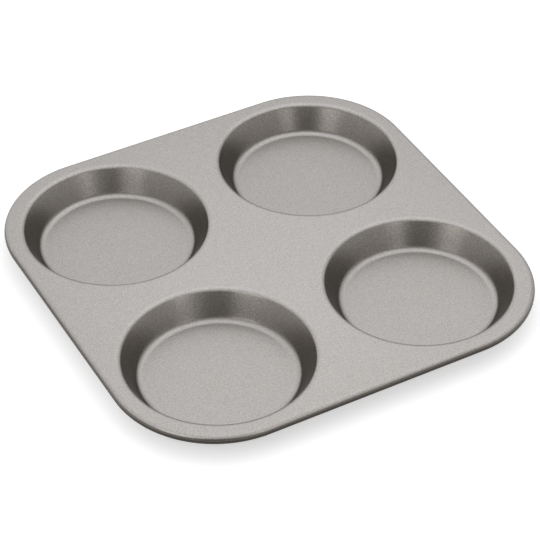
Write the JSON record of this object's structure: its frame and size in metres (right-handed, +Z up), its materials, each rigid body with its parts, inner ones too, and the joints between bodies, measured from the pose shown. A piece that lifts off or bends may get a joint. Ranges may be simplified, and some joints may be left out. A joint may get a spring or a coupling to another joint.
{
  "type": "yorkshire pudding pan",
  "caption": "Square pressed-steel baking pan with rounded corners, wide shallow round cups for batter puddings and an edge rolled over a stiffening wire.",
  "frame": {"origin": "centre of the pan in plan, on the plane of the cup floors' undersides, which the pan stands on", "axes": "+Z up out of the cups, +X and +Y along the straight sides"},
  "size_m": [0.24, 0.24, 0.0153],
  "materials": {
    "coated_sheet": "satin",
    "wire_steel": "satin"
  },
  "bodies": {
    "root": {"pan_sheet": "coated_sheet", "rim_wire": "wire_steel"}
  },
  "joints": []
}
